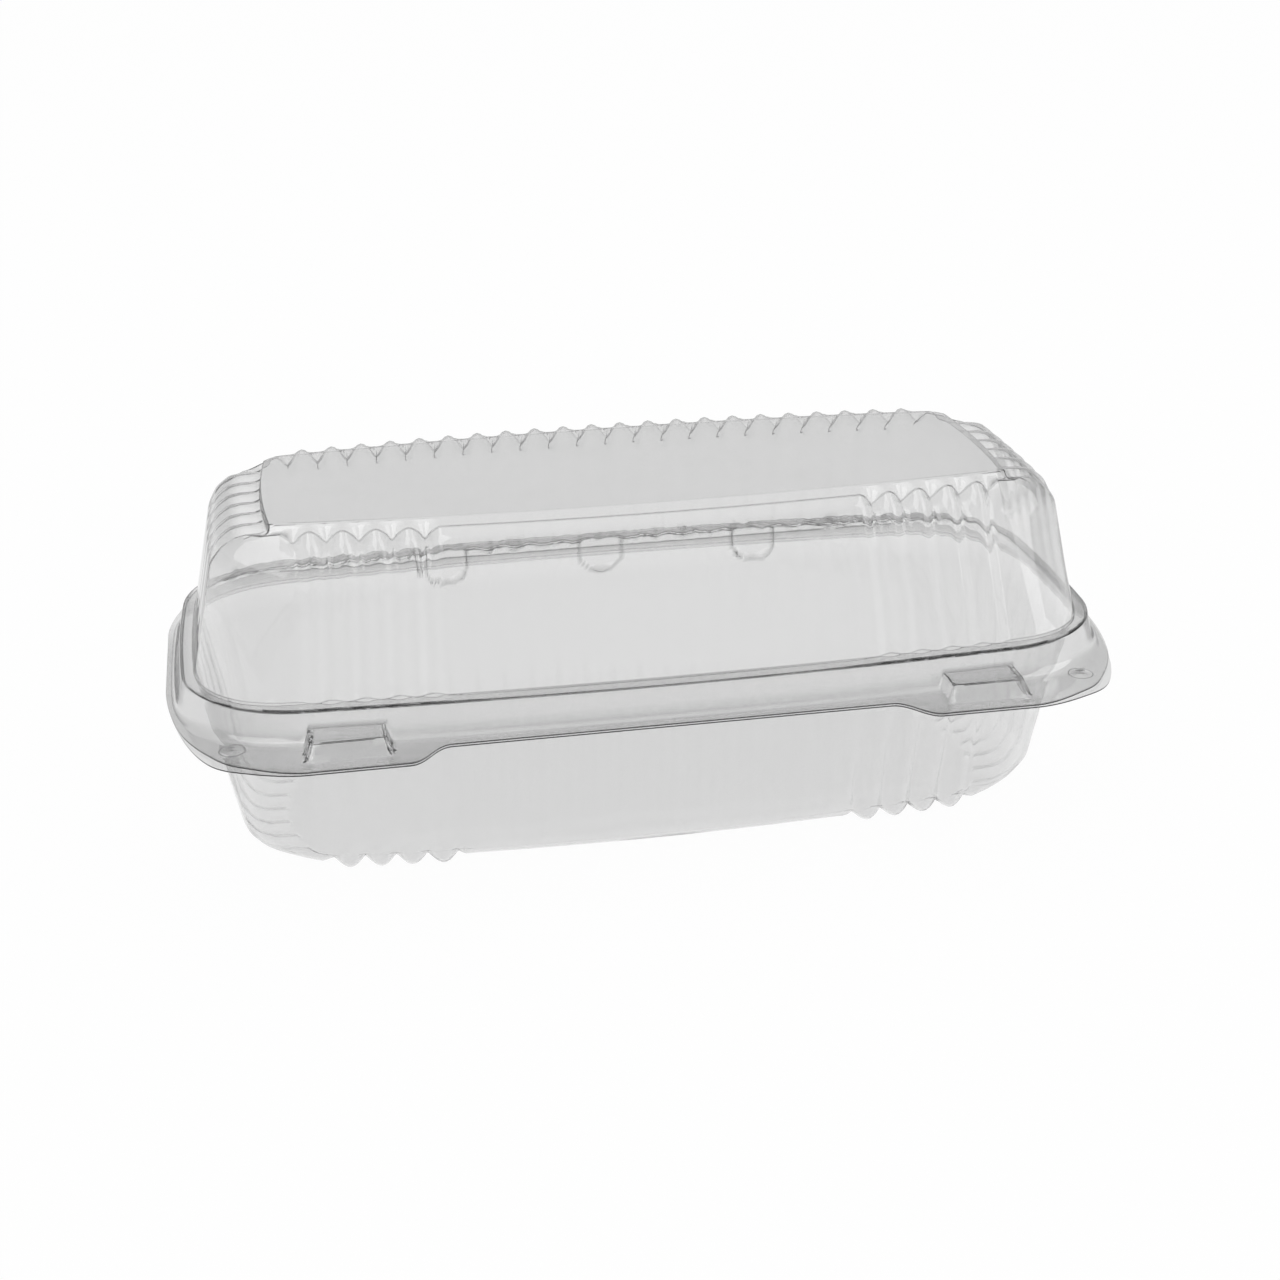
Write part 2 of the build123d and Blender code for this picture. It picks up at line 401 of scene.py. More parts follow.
def three_point_arc(first: tuple, middle: tuple, last: tuple, count: int) -> np.ndarray:
    """Samples the arc through three points.

    Args:
        first: Start of the arc.
        middle: A point on it.
        last: End of the arc, which is left out of the samples.
        count: Number of samples.

    Returns:
        Points along the arc.
    """
    a, b, c = (complex(*point) for point in (first, middle, last))
    w = (c - a) / (b - a)
    centre = (b - a) * (w - abs(w) ** 2) / (2j * w.imag) + a
    turn = np.angle((c - centre) / (a - centre))
    swept = centre + (a - centre) * np.exp(1j * turn * np.arange(count) / count)
    return np.stack([swept.real, swept.imag], axis=1)


def smooth_run(points: list[tuple], tangents: tuple, count: int) -> np.ndarray:
    """Samples a smooth curve through points with given directions at its ends.

    Args:
        points: Points on the curve.
        tangents: Directions at the first and the last point.
        count: Samples on each stretch.

    Returns:
        Points along the curve, without its last one.
    """
    knots = np.array(points, float)
    slopes = np.zeros_like(knots)
    slopes[1:-1] = (knots[2:] - knots[:-2]) / 2
    slopes[0] = np.array(tangents[0]) * np.linalg.norm(knots[1] - knots[0])
    slopes[-1] = np.array(tangents[1]) * np.linalg.norm(knots[-1] - knots[-2])
    t = (np.arange(count) / count)[:, None]
    stretches = []
    for start, stop, leave, arrive in zip(knots, knots[1:], slopes, slopes[1:]):
        stretches.append(
            (1 + 2 * t) * (1 - t) ** 2 * start
            + t * (1 - t) ** 2 * leave
            + t**2 * (3 - 2 * t) * stop
            + t**2 * (t - 1) * arrive
        )
    return np.concatenate(stretches)


def cast(origins: np.ndarray, directions: np.ndarray, loop: np.ndarray) -> np.ndarray:
    """Sends a ray from each column to a closed outline.

    Args:
        origins: X and Y of every column.
        directions: Unit directions of the rays.
        loop: Points of the outline in order.

    Returns:
        Where each ray first meets the outline.
    """
    parallel = 1e-9
    edge = np.roll(loop, -1, axis=0) - loop
    gap = loop[None] - origins[:, None]
    cross = directions[:, None, X] * edge[None, :, Y] - directions[:, None, Y] * edge[None, :, X]
    level = np.abs(cross) < parallel
    cross = np.where(level, 1.0, cross)
    along = (gap[..., X] * edge[None, :, Y] - gap[..., Y] * edge[None, :, X]) / cross
    share = (gap[..., X] * directions[:, None, Y] - gap[..., Y] * directions[:, None, X]) / cross
    met = (share >= -TINY) & (share <= 1 + TINY) & (along > 0) & ~level
    along = np.where(met, along, np.inf)
    return origins + directions * along.min(axis=1)[:, None]


@dataclass(frozen=True)
class Rim:
    """The smooth ledge and skirt where the two halves nest."""

    half_length: float = 113.6
    half_width: float = 53.0
    side_run: float = 83.6
    end_run: float = 22.8
    side_bow: float = 2.8
    end_bow: float = 0.6
    bulge: float = 0.2
    flare: float = 1.9
    arc_samples: int = 60

    def loop(self, inset: float) -> np.ndarray:
        """Gives the outline of the rim at an inset.

        Args:
            inset: Distance inwards from the ledge.

        Returns:
            Points of the closed outline, anticlockwise.
        """
        length = self.half_length - inset
        width = self.half_width - inset
        side, tip = width - self.side_bow, length - self.end_bow
        run, rise = self.side_run, self.end_run
        knee_x = (run + tip) / 2 + (side - rise) * self.bulge
        knee_y = (side + rise) / 2 + (tip - run) * self.bulge
        half = [
            (-run, -side), (0, -width), (run, -side), (knee_x, -knee_y),
            (tip, -rise), (length, 0), (tip, rise), (knee_x, knee_y),
        ]
        knots = half + [(-x, -y) for x, y in half] + half[:1]
        starts = range(0, len(knots) - 1, 2)
        return np.concatenate([three_point_arc(*knots[at : at + 3], self.arc_samples) for at in starts])

    def directions(self, points: np.ndarray) -> np.ndarray:
        """Gives smooth outward directions that fan round the corners.

        Args:
            points: X and Y of every column.

        Returns:
            Unit directions in plan.
        """
        power = 4.2
        scaled = points / np.array([self.half_length, self.half_width])
        slope = np.sign(scaled) * np.abs(scaled) ** (power - 1)
        slope = slope / np.array([self.half_length, self.half_width])
        return slope / np.linalg.norm(slope, axis=1)[:, None]


@dataclass(frozen=True)
class Flange:
    """The flat flange of one half: two wide tabs in front and a straight hinge side."""

    half_length: float = 117.5
    front: float = 58.6
    tab_front: float = 66.5
    back: float = 61.3
    back_run: float = 88.0
    end_front: float = 14.0
    end_back: float = 20.0
    tab_start: float = 52.3
    tab_inner: float = 62.7
    tab_outer: float = 85.5
    front_knees: tuple = ((98.5, 61.6), (106.1, 55.0), (114.0, 39.0))
    back_knees: tuple = ((112.6, 42.0), (103.0, 55.6))
    corner_extra: float = 0.0
    curve_samples: int = 24

    def loop(self) -> np.ndarray:
        """Gives the cut edge of the flange.

        Returns:
            Points of the closed outline, anticlockwise.
        """
        extra = self.corner_extra
        (knee_x, knee_y), (mid_x, mid_y), (end_x, end_y) = self.front_knees
        hinge_end = (self.back_run, self.back)
        tab = [(self.tab_start, -self.front), (self.tab_inner, -self.tab_front)]
        front_corner = [
            (self.tab_outer, -self.tab_front),
            (knee_x, -knee_y - extra),
            (mid_x + extra, -mid_y - extra),
            (end_x, -end_y),
            (self.half_length, -self.end_front),
        ]
        back_corner = [(self.half_length, self.end_back), *self.back_knees, hinge_end]
        right_way, back_way, left_way = (1, 0), (0, 1), (-1, 0)
        runs = (
            (tab, (right_way, right_way)),
            (front_corner, (right_way, back_way)),
            (back_corner, (back_way, left_way)),
        )
        curves = [smooth_run(points, ways, self.curve_samples) for points, ways in runs]
        right = np.concatenate([*curves, [hinge_end]])
        left = right[::-1] * np.array([-1, 1])
        lowest, highest = [-self.half_length, -self.tab_front], [self.half_length, self.back]
        return np.clip(np.concatenate([right, left]), lowest, highest)


@dataclass(frozen=True)
class Presses:
    """Locking boxes and round dimples pressed up out of the flange."""

    lock_centre: float = 75.8
    lock_foot_width: float = 20.2
    lock_top_width: float = 17.6
    lock_foot_front: float = 61.8
    lock_top_front: float = 59.2
    lock_rise: float = 3.6
    dimple_x: float = 102.0
    dimple_y: float = 51.7
    dimple_radius: float = 3.1
    dimple_rise: float = 0.55
    catch: float = 0.36

    def fit(self, x: np.ndarray, y: np.ndarray, inset: float) -> tuple[np.ndarray, np.ndarray]:
        """Moves points that lie near an edge of a pressed shape onto it, so that the edge is crisp.

        Args:
            x: X of each point.
            y: Y of each point.
            inset: Distance by which the shapes are smaller, for the nested half.

        Returns:
            New X and Y of each point.
        """
        side = np.sign(x)
        off = np.abs(x) - self.lock_centre
        for width in (self.lock_foot_width, self.lock_top_width):
            half = width / 2 - inset
            near = (np.abs(np.abs(off) - half) < self.catch) & (y < -self.dimple_y + self.dimple_radius)
            off = np.where(near, np.sign(off) * half, off)
        x = side * (self.lock_centre + off)
        for front in (self.lock_foot_front, self.lock_top_front):
            near = (np.abs(y + front - inset) < self.catch) & (np.abs(off) <= self.lock_foot_width / 2)
            y = np.where(near, inset - front, y)
        return x, y

    def lift(self, x: np.ndarray, y: np.ndarray, inset: float) -> np.ndarray:
        """Gives the height of the pressed shapes above the flange.

        Args:
            x: X of each point.
            y: Y of each point.
            inset: Distance by which the shapes are smaller, for the nested half.

        Returns:
            Heights above the flat flange.
        """
        half_foot = self.lock_foot_width / 2 - inset
        side_run = (self.lock_foot_width - self.lock_top_width) / 2
        across = (half_foot - np.abs(np.abs(x) - self.lock_centre)) / side_run
        ahead = (y + self.lock_foot_front - inset) / (self.lock_foot_front - self.lock_top_front)
        lock = self.lock_rise * np.clip(np.minimum(across, ahead), 0, 1)
        reach = np.hypot(np.abs(x) - self.dimple_x, y + self.dimple_y) / (self.dimple_radius - inset)
        dimple = self.dimple_rise * (1 + np.cos(np.pi * np.minimum(reach, 1))) / 2
        return np.where(y < 0, np.maximum(lock, dimple), 0.0)


@dataclass(frozen=True)
class Scoops:
    """Half round scoops below the back rim of the tray."""

    spacing: float = 43.2
    half_width: float = 5.9
    drop: float = 8.8
    round_share: float = 0.55
    flat_share: float = 0.8
    depth: float = 1.9
    catch: float = 0.47
    # Painted shade: a dark line along the outline of each scoop.
    edge_grey: float = 0.45

    def press(self, x: np.ndarray, z: np.ndarray, top: float) -> tuple[np.ndarray, ...]:
        """Finds how far the scoops push the wall back.

        Args:
            x: X of each point.
            z: Height of each point.
            top: Height of the rim.

        Returns:
            X and Z with points near an outline moved onto it, the push, which is 0 outside,
            and marks for the points on an outline.
        """
        push = np.zeros_like(x)
        edge = np.zeros(x.shape, bool)
        floor, top_share = top - self.drop, 1.01
        for side in (-1, 0, 1):
            off = x - side * self.spacing
            across = np.clip(np.abs(off) / self.half_width, 0, 1)
            foot = floor + self.drop * self.round_share * (1 - np.sqrt(1 - across**2))
            below = (across < self.flat_share) & (np.abs(z - foot) < self.catch)
            z = np.where(below, foot, z)
            share = (z - floor) / self.drop
            under = np.clip(1 - share / self.round_share, 0, 1)
            within = (share > 0) & (share < top_share)
            width = np.where(within, self.half_width * np.sqrt(1 - under**2), 0.0)
            wide = width > self.catch
            beside = (np.abs(np.abs(off) - width) < self.catch) & (across >= self.flat_share) & wide
            off = np.where(beside, np.sign(off) * width, off)
            x = np.where(beside, side * self.spacing + off, x)
            edge |= below | beside
            inside = np.clip(1 - (off / np.maximum(width, TINY)) ** 2, 0, 1)
            push = np.maximum(push, np.where(~below & wide, self.depth * np.sqrt(inside), 0.0))
        return x, z, push, edge


def bend_end(key: Key, neighbour: Key) -> Channels:
    """Finds where the bend of a key ends on the way to its neighbour.

    Args:
        key: The key that is rounded.
        neighbour: The key before or after it.

    Returns:
        The ring at the end of the bend.
    """
    most = 0.45
    way = neighbour.ring - key.ring
    run = np.linalg.norm(way[:, POINT], axis=1)[:, None]
    return key.ring + way * np.minimum(key.bend / np.maximum(run, TINY), most)


def thread(keys: list[Key], bend_rings: int) -> Channels:
    """Runs the sheet through its keys and rounds the bends.

    Args:
        keys: Rings in order along the sheet.
        bend_rings: Rings in each rounded bend.

    Returns:
        All rings of the sheet.
    """
    pieces = []
    for index, key in enumerate(keys):
        leave = key.ring
        if key.bend:
            arrive, leave = (bend_end(key, keys[index + way]) for way in (-1, 1))
            for share in np.linspace(0, 1, bend_rings):
                rest = 1 - share
                pieces.append(rest**2 * arrive + 2 * share * rest * key.ring + share**2 * leave)
        else:
            pieces.append(key.ring)
        for step in range(1, key.steps + 1):
            share = step / (key.steps + 1)
            pieces.append(leave * (1 - share) + bend_end(keys[index + 1], key) * share)
    return np.stack(pieces)


def placed(name: str, data: bpy.types.ID) -> bpy.types.Object:
    """Puts new data into the scene.

    Args:
        name: Name of the object.
        data: Its mesh, light or camera.

    Returns:
        The new object.
    """
    item = bpy.data.objects.new(name, data)
    bpy.context.scene.collection.objects.link(item)
    return item


def plain_grey(level: float) -> tuple:
    """Gives a grey as a colour with four parts."""
    return level, level, level, 1.0


class Wires:
    """Adds nodes to a node tree and joins them."""

    def __init__(self, tree: bpy.types.NodeTree) -> None:
        """Empties the tree and keeps it."""
        tree.nodes.clear()
        self.tree = tree

    def add(self, kind: str, inputs: dict | None = None, **settings: str) -> bpy.types.Node:
        """Adds one node.

        Args:
            kind: Type of the node.
            inputs: Sockets to join or plain values to set, by the name or number of the input.
            settings: Properties of the node itself.

        Returns:
            The new node.
        """
        node = self.tree.nodes.new(kind)
        for name, value in settings.items():
            setattr(node, name, value)
        for name, value in (inputs or {}).items():
            if isinstance(value, bpy.types.NodeSocket):
                self.tree.links.new(value, node.inputs[name])
            else:
                node.inputs[name].default_value = value
        return node

    def maths(self, operation: str, *values: bpy.types.NodeSocket | float) -> bpy.types.NodeSocket:
        """Adds one step of arithmetic.

        Args:
            operation: Name of the operation.
            values: Sockets or plain numbers that go in.

        Returns:
            The socket with the result.
        """
        return self.add("ShaderNodeMath", dict(enumerate(values)), operation=operation).outputs["Value"]


@dataclass(frozen=True)
class ClearSheet:
    """Clear formed plastic: glossy, faintly grey, with soft waves from the mould.

    Painted shade: one tint darkens the sheet along the marked bends, grooves, cut edges and on the
    walls, another where it is seen at a steep slant, in place of the dark lines and tones of clear
    sheet. A thin painted shade line rings the two dimples.
    """

    name: str = "clear_sheet"
    tint: float = 0.99
    bend_tint: float = 0.2
    edge_on_tint: float = 0.03
    edge_on: tuple = (0.68, 0.85)
    slant_blend: float = 0.5
    dimple_spot: tuple = (0.102, -0.0517, 0.00295)
    dimple_line: float = 0.0003
    dimple_grey: float = 0.8
    smoothest: float = 0.01
    roughest: float = 0.04
    gloss_size: float = 270.0
    gloss_detail: float = 3.0
    bending: float = 1.57
    absorbed: float = 0.73
    density: float = 300.0
    wave_size: float = 45.0
    wave_detail: float = 1.0
    wave_strength: float = 0.6
    wave_height: float = 0.00025
    shade: float = 0.9

    def make(self) -> bpy.types.Material:
        """Builds the material.

        Returns:
            A material for a closed sheet with real thickness.
        """
        material = bpy.data.materials.new(self.name)
        material.use_nodes = True
        wires = Wires(material.node_tree)
        place = wires.add("ShaderNodeTexCoord").outputs["Object"]
        fine = wires.add(
            "ShaderNodeTexNoise", {"Vector": place, "Scale": self.gloss_size, "Detail": self.gloss_detail}
        )
        gloss = wires.add(
            "ShaderNodeMapRange",
            {"Value": fine.outputs["Fac"], "To Min": self.smoothest, "To Max": self.roughest},
        )
        wave = wires.add(
            "ShaderNodeTexNoise", {"Vector": place, "Scale": self.wave_size, "Detail": self.wave_detail}
        )
        bump = wires.add(
            "ShaderNodeBump",
            {"Height": wave.outputs["Fac"], "Strength": self.wave_strength, "Distance": self.wave_height},
        )
        plastic = wires.add(
            "ShaderNodeBsdfPrincipled",
            {
                "Base Color": self._colour(wires, place),
                "Roughness": gloss.outputs["Result"],
                "Normal": bump.outputs["Normal"],
                "Transmission Weight": 1.0,
                "IOR": self.bending,
            },
        )
        lamp_side = wires.add("ShaderNodeBsdfTransparent", {"Color": plain_grey(self.shade)})
        either = wires.add(
            "ShaderNodeMixShader",
            {
                "Fac": wires.add("ShaderNodeLightPath").outputs["Is Shadow Ray"],
                1: plastic.outputs["BSDF"],
                2: lamp_side.outputs["BSDF"],
            },
        )
        inside = wires.add(
            "ShaderNodeVolumeAbsorption", {"Color": plain_grey(self.absorbed), "Density": self.density}
        )
        wires.add(
            "ShaderNodeOutputMaterial",
            {"Surface": either.outputs["Shader"], "Volume": inside.outputs["Volume"]},
        )
        return material

    def _colour(self, wires: Wires, place: bpy.types.NodeSocket) -> bpy.types.NodeSocket:
        """Mixes the colour that the sheet lets through.

        Args:
            wires: Maker of the nodes.
            place: Coordinates on the sheet.

        Returns:
            The socket with the colour.
        """
        # Painted shade: the mask stored on the mesh and the ring round the dimples mix in the dark tint.
        bent = wires.add("ShaderNodeAttribute", attribute_name="bent").outputs["Fac"]
        marked = wires.maths("MAXIMUM", self._dimple_line(wires, place), bent)
        colour = wires.add(
            "ShaderNodeMix",
            {"Factor": marked, "A": plain_grey(self.tint), "B": plain_grey(self.bend_tint)},
            data_type="RGBA",
        )
        # Painted shade: darker where the sheet is seen edge-on, in place of the dark outlines of clear sheet.
        slant = wires.add("ShaderNodeLayerWeight", {"Blend": self.slant_blend})
        start, full = self.edge_on
        deep = wires.add(
            "ShaderNodeMapRange",
            {"Value": slant.outputs["Facing"], "From Min": start, "From Max": full},
            interpolation_type="SMOOTHSTEP",
        )
        through = wires.add(
            "ShaderNodeMix",
            {
                "Factor": deep.outputs["Result"],
                "A": colour.outputs["Result"],
                "B": plain_grey(self.edge_on_tint),
            },
            data_type="RGBA",
        )
        return through.outputs["Result"]

    def _dimple_line(self, wires: Wires, place: bpy.types.NodeSocket) -> bpy.types.NodeSocket:
        """Draws the thin line round the two pressed dimples.

        Args:
            wires: Maker of the nodes.
            place: Coordinates on the sheet.

        Returns:
            The socket with the line's tint, from 0 to 1.
        """
        # Painted shade: a thin dark ring drawn at each dimple's edge, in place of the line its rim shows in
        # clear sheet.
        spot_x, spot_y, radius = self.dimple_spot
        split = wires.add("ShaderNodeSeparateXYZ", {"Vector": place})
        beside = wires.maths("SUBTRACT", wires.maths("ABSOLUTE", split.outputs["X"]), spot_x)
        ahead = wires.maths("SUBTRACT", split.outputs["Y"], spot_y)
        squares = (wires.maths("MULTIPLY", way, way) for way in (beside, ahead))
        reach = wires.maths("SQRT", wires.maths("ADD", *squares))
        line = wires.add(
            "ShaderNodeMapRange",
            {
                "Value": wires.maths("ABSOLUTE", wires.maths("SUBTRACT", reach, radius)),
                "From Max": self.dimple_line,
                "To Min": self.dimple_grey,
                "To Max": 0.0,
            },
        )
        return line.outputs["Result"]


class FluteRows:
    """The node tree that presses rows of rounded flutes into a sheet."""

    def __init__(self) -> None:
        """Builds the tree with its named inputs."""
        self.tree = bpy.data.node_groups.new("Flute rows", "GeometryNodeTree")
        face = self.tree.interface
        face.new_socket("Geometry", in_out="INPUT", socket_type="NodeSocketGeometry")
        self.softness = face.new_socket("Softness", in_out="INPUT", socket_type="NodeSocketFloat").identifier
        self.finish = face.new_socket("Finish", in_out="INPUT", socket_type="NodeSocketMaterial").identifier
        face.new_socket("Geometry", in_out="OUTPUT", socket_type="NodeSocketGeometry")
        self._wire(Wires(self.tree))

    @staticmethod
    def _named(wires: Wires, name: str, kind: str = "FLOAT") -> bpy.types.NodeSocket:
        """Reads an attribute of the sheet by its name."""
        node = wires.add("GeometryNodeInputNamedAttribute", {"Name": name}, data_type=kind)
        return node.outputs["Attribute"]

    def _wire(self, wires: Wires) -> None:
        """Wires the wave, the move and the finish.

        Args:
            wires: Maker of the nodes.
        """
        maths = wires.maths
        source = wires.add("NodeGroupInput")
        soft = maths("MULTIPLY", self._named(wires, "flute_softness"), source.outputs["Softness"])
        soft_square = maths("MULTIPLY", soft, soft)
        swing = maths("SINE", maths("MULTIPLY", self._named(wires, "flute_phase"), math.pi))
        wave = maths("ADD", maths("MULTIPLY", swing, swing), soft_square)
        lobe = maths("SUBTRACT", maths("SQRT", wave), soft)
        tallest = maths("SUBTRACT", maths("SQRT", maths("ADD", soft_square, 1.0)), soft)
        reach = maths("MULTIPLY", maths("DIVIDE", lobe, tallest), self._named(wires, "flute_depth"))
        out = self._named(wires, "flute_out", "FLOAT_VECTOR")
        push = wires.add("ShaderNodeVectorMath", {0: out, "Scale": reach}, operation="SCALE")
        move = wires.add(
            "GeometryNodeSetPosition",
            {"Geometry": source.outputs["Geometry"], "Offset": push.outputs["Vector"]},
        )
        real = wires.add("GeometryNodeRealizeInstances", {"Geometry": move.outputs["Geometry"]})
        dress = wires.add(
            "GeometryNodeSetMaterial",
            {"Geometry": real.outputs["Geometry"], "Material": source.outputs["Finish"]},
        )
        wires.add("NodeGroupOutput", {"Geometry": dress.outputs["Geometry"]})


@dataclass
class Half:
    """One half of the container: the shared way from rings to a finished sheet.

    The inset is how far a half lies inside the lid's rim.
    """

    flutes: Flutes
    rim: Rim
    presses: Presses
    rows: FluteRows
    finish: bpy.types.Material
    edge_finish: bpy.types.Material
    name: str = ""
    flange: Flange = Flange()
    flange_height: float = 0.0
    ledge_height: float = 0.0
    inset: float = 0.0
    sheet: float = 0.3
    thinned: float = 0.15
    window_lead: float = 3.8
    bend_rings: int = 4
    flange_steps: int = 13
    skirt_steps: int = 3
    skirt_bend: float = 2.4
    ledge_steps: int = 2
    ledge_bend: float = 0.3
    cast_share: float = 0.9
    # The values below set painted shade: the greys of the rim, dark lines at the cut edge, along tight bends,
    # less in hollow ones, and in the end grooves.
    rim_greys: tuple = (0.1, 0.2)
    edge_grey: float = 0.2
    bend_grey: float = 0.2
    hollow_share: float = 0.75
    groove_grey: float = 0.0
    crinkle: float = 0.6
    crinkle_seed: int = 7
    middle_shares: tuple = (0.7, 0.15)
    sharp_angle: float = 50.0
    columns: Columns = field(init=False)

    def __post_init__(self) -> None:
        """Lists the columns once for all rings."""
        self.columns = Columns(self.flutes, self.window_lead)

    def levels(self) -> list[tuple[Level, float, int]]:
        """Lists the levels from the ledge to the middle with their bends and steps."""
        raise NotImplementedError

    def make(self) -> bpy.types.Object:
        """Runs the sheet through all its levels, presses it and builds it.

        Returns:
            The half as a plain mesh with real thickness.
        """
        walls = self.wall_keys(self.levels())
        sheet = thread(self.flange_keys(walls[0].ring) + walls, self.bend_rings)
        self.press(sheet)
        self.crease_back(sheet)
        return self.build(sheet)

    def flange_keys(self, foot: Channels) -> list[Key]:
        """Lays out the flange and the skirt.

        Args:
            foot: Ring where the wall meets the ledge.

        Returns:
            Keys from the cut edge to the ledge.
        """
        starts = foot[:, :Z]
        ways = self.rim.directions(starts)
        loops = (self.flange.loop(), self.rim.loop(self.inset - self.rim.flare), self.rim.loop(self.inset))
        heights = (self.flange_height, self.flange_height, self.ledge_height)
        edge, skirt, ledge = (
            flat_ring(cast(starts * self.cast_share, ways, loop), height, self.rim_greys)
            for loop, height in zip(loops, heights)
        )
        return [
            Key(edge, steps=self.flange_steps),
            Key(skirt, bend=self.skirt_bend, steps=self.skirt_steps),
            Key(ledge, bend=self.ledge_bend, steps=self.ledge_steps),
        ]

    def wall_keys(self, listed: list[tuple[Level, float, int]]) -> list[Key]:
        """Lays out the wall and closes its last level with a small ring in the middle.

        Args:
            listed: Levels with their bends and steps.

        Returns:
            Keys from the ledge to the middle.
        """
        keys = [Key(self.columns.ring(level), bend, steps) for level, bend, steps in listed]
        middle = keys[-1].ring.copy()
        middle[:, :Z] *= self.middle_shares
        return keys + [Key(middle)]

    def press(self, sheet: Channels) -> None:
        """Lifts the locking boxes and dimples out of the flange and the skirt.

        Args:
            sheet: All rings, changed in place.
        """
        ledge_ring = int(np.argmax(sheet[:, 0, Z] >= self.ledge_height - self.sheet))
        skirt = sheet[:ledge_ring]
        x, y = self.presses.fit(skirt[..., X], skirt[..., Y], self.inset)
        run, fall = (np.gradient(skirt[..., axis], axis=1) for axis in (X, Y))
        slope = fall / np.where(np.abs(run) < TINY, np.inf, run)
        y = np.where(y == skirt[..., Y], y + slope * (x - skirt[..., X]), y)
        moved = (skirt[..., Y] < 0) & (skirt[..., Z] < self.flange_height + self.presses.lock_rise)
        moved[0] = False
        skirt[..., X] = np.where(moved, x, skirt[..., X])
        skirt[..., Y] = np.where(moved, y, skirt[..., Y])
        lift = self.presses.lift(skirt[..., X], skirt[..., Y], self.inset)
        skirt[..., Z] = np.maximum(skirt[..., Z], self.flange_height + lift)

    def crease_back(self, sheet: Channels) -> None:
        """Adds the small crinkles that folding leaves along the ledge at the back.

        Args:
            sheet: All rings, changed in place.
        """
        reach, back_share, blur = 1.0, 0.75, (0.25, 0.5, 0.25)
        rough = np.random.default_rng(self.crinkle_seed).normal(size=(2, sheet.shape[1]))
        near = np.abs(sheet[..., Z] - self.ledge_height) < reach
        near &= sheet[..., Y] > self.rim.half_width * back_share
        inward, down = (np.abs(np.convolve(row, blur, "same")) for row in rough)
        sheet[..., Y] -= np.where(near, inward * self.crinkle, 0.0)
        sheet[..., Z] -= np.where(near, down * self.crinkle / 2, 0.0)

    def build(self, sheet: Channels) -> bpy.types.Object:
        """Makes the finished piece from its rings.

        Args:
            sheet: All rings from the cut edge to the middle.

        Returns:
            The piece as a plain mesh with real thickness.
        """
        count, around = sheet.shape[:2]
        index = np.arange(count * around).reshape(count, around)
        ahead = np.roll(index, -1, axis=1)
        quads = np.stack([index[:-1], ahead[:-1], ahead[1:], index[1:]], axis=-1).reshape(-1, 4)
        faces = quads.tolist() + [index[-1].tolist()]
        points = sheet.reshape(-1, sheet.shape[-1])
        mesh = bpy.data.meshes.new(self.name)
        mesh.from_pydata((points[:, POINT] * MM).tolist(), [], faces)
        self._store(mesh, "flute_phase", np.tile(self.columns.phase(), count))
        self._store(mesh, "flute_depth", points[:, DEPTH] * MM)
        self._store(mesh, "flute_softness", points[:, SOFT])
        # Painted shade, kept on the mesh for the material.
        self._store(mesh, "bent", self._bent(sheet).reshape(-1))
        out = mesh.attributes.new("flute_out", "FLOAT_VECTOR", "POINT")
        out.data.foreach_set("vector", points[:, OUT].astype(np.float32).ravel())
        mesh.shade_smooth()
        mesh.materials.append(self.finish)
        mesh.materials.append(self.edge_finish)
        piece = placed(self.name, mesh)
        self._weigh(piece, sheet)
        self._form(piece)
        return piece

    @staticmethod
    def _store(mesh: bpy.types.Mesh, name: str, values: np.ndarray) -> None:
        """Keeps one number for each point of a mesh."""
        kept = mesh.attributes.new(name, "FLOAT", "POINT")
        kept.data.foreach_set("value", values.astype(np.float32))

    def _bent(self, sheet: Channels) -> np.ndarray:
        """Gives how grey the bends, the grooves, the cut edge and the walls are.

        Args:
            sheet: All rings.

        Returns:
            A share from 0 to 1 for each point.
        """
        # Painted shade: dark lines at the cut edge, along tight bends and in the end grooves, and the greys
        # of the levels, in place of the shading of the clear sheet.
        sharp, least, full, fine = 0.45, 0.12, 0.3, 0.35
        soft, deep, valley = 0.3, 1.0, 0.01
        rise = self.columns.rise(sheet[..., SOFT])
        points = sheet[..., POINT] + sheet[..., OUT] * (sheet[..., DEPTH] * rise)[..., None]
        step = np.diff(points, axis=0)
        run = np.linalg.norm(step, axis=-1) + TINY
        way = step / run[..., None]
        turn = np.arccos(np.clip((way[1:] * way[:-1]).sum(-1), -1, 1))
        around = np.roll(points, -1, axis=1) - np.roll(points, 1, axis=1)
        hollow = (np.cross(way[:-1], way[1:]) * around[1:-1]).sum(-1) > 0
        least_run = np.minimum(run[1:], run[:-1])
        tight = np.clip(turn / least_run * sharp, 0, 1) * np.clip(fine / least_run, 0, 1) ** 2
        tight = np.where(hollow, self.hollow_share, 1.0) * tight**2
        bent = np.zeros(sheet.shape[:2])
        bent[0] = self.edge_grey
        bent[1:-1] = self.bend_grey * tight * np.clip((turn - least) / (full - least), 0, 1)
        groove = np.clip(1 - sheet[..., SOFT] / soft, 0, 1) * np.clip(sheet[..., DEPTH] / deep, 0, 1)
        groove = self.groove_grey * groove * (self.columns.of(Row.END) & (rise < valley))
        return np.maximum(np.maximum(bent, groove), sheet[..., PAINTED_SHADE])

